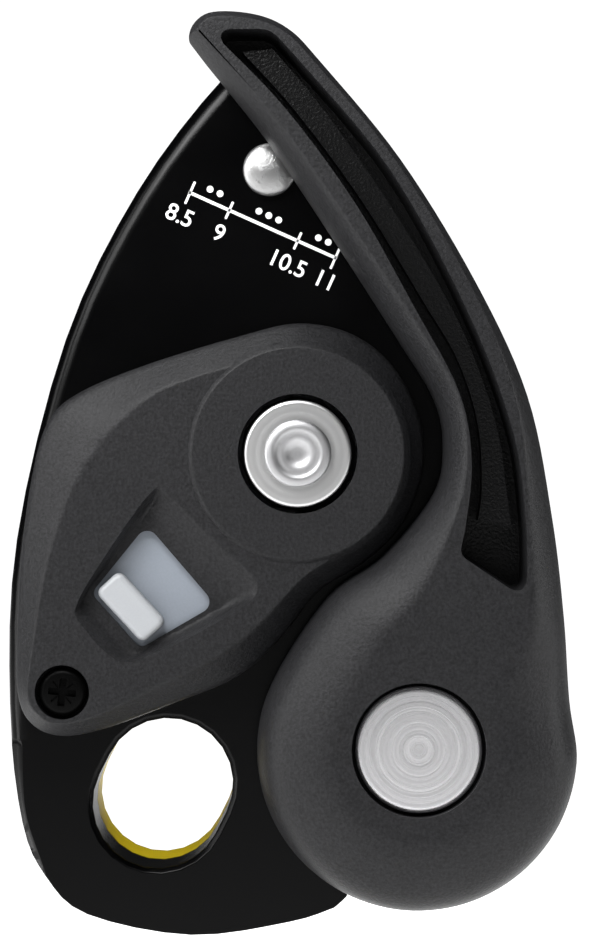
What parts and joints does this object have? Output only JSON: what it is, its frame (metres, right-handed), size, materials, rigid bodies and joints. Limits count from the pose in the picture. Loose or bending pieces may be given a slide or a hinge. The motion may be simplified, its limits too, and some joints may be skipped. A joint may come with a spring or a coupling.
{
  "type": "assisted braking belay device",
  "caption": "Hand-held assisted braking belay device with a swinging side plate, rope cam, release handle and selector slide",
  "frame": {"origin": "centre of the carabiner hole, half way between the two side plates", "axes": "+Z from the carabiner hole up to the handle's tip, -Y out of the handle's side, +X to the right of someone who looks at the handle"},
  "size_m": [0.0601, 0.0343, 0.0971],
  "materials": {
    "black_anodised": "satin black anodised",
    "yellow_anodised": "yellow anodised",
    "stainless": "ground stainless steel",
    "bright_steel": "turned bright steel",
    "cam_steel": "tumbled stainless steel",
    "black_steel": "blackened steel",
    "spring_steel": "drawn spring steel",
    "bronze": "plain bronze",
    "grey_plastic": "dark grey moulded, fine grain",
    "handle_plastic": "dark grey moulded, fine grain",
    "pale_plastic": "pale blue-grey moulded",
    "white_plastic": "off-white moulded"
  },
  "bodies": {
    "frame": {"fixed_plate": "black_anodised", "friction_pad": "stainless", "friction_pad_rivet_lower": "stainless", "friction_pad_rivet_upper": "stainless", "main_axle": "bright_steel", "axle_washer": "bright_steel", "side_plate_pivot": "bright_steel", "pivot_spacer": "stainless", "pivot_washer": "bright_steel", "spring_cover": "grey_plastic", "cover_screw": "black_steel", "cam_stop_pin": "bright_steel", "selector_detent_spring": "spring_steel", "cam_return_spring": "spring_steel"},
    "cam": {"cam": "cam_steel", "cam_bush": "bronze", "cam_spring_pin": "bright_steel", "handle_pivot": "bright_steel", "handle_drive_plate": "stainless", "handle_spacer": "stainless"},
    "handle": {"handle_shell": "handle_plastic", "handle_bush": "bronze", "handle_return_spring": "spring_steel"},
    "moving_plate": {"moving_plate": "yellow_anodised", "moving_plate_bush": "bronze", "wear_plate": "stainless", "wear_plate_rivet_lower": "stainless", "wear_plate_rivet_upper": "stainless"},
    "selector": {"selector_slider": "pale_plastic", "selector_knob": "white_plastic"}
  },
  "joints": [
    {"name": "cam_hinge", "type": "hinge", "parent": "frame", "child": "cam", "pos_m": [0.0143, 0, 0.036], "axis": [0, -1, 0], "range_deg": [0, 25], "stiffness_Nm_per_rad": 0.02, "springref_deg": -85.94, "deforming": ["cam_return_spring"]},
    {"name": "handle_hinge", "type": "hinge", "parent": "cam", "child": "handle", "pos_m": [0.0268, 0, 0.0054], "axis": [0, 1, 0], "range_deg": [0, 130], "stiffness_Nm_per_rad": 0.003, "springref_deg": -85.94, "deforming": ["handle_return_spring"]},
    {"name": "side_plate_hinge", "type": "hinge", "parent": "frame", "child": "moving_plate", "pos_m": [0.0113, 0, 0.0661], "axis": [0, 1, 0], "range_deg": [0, 100]},
    {"name": "selector_slide", "type": "slide", "parent": "frame", "child": "selector", "axis": [0.7349, 0, 0.6782], "range_m": [0, 0.0046]}
  ]
}
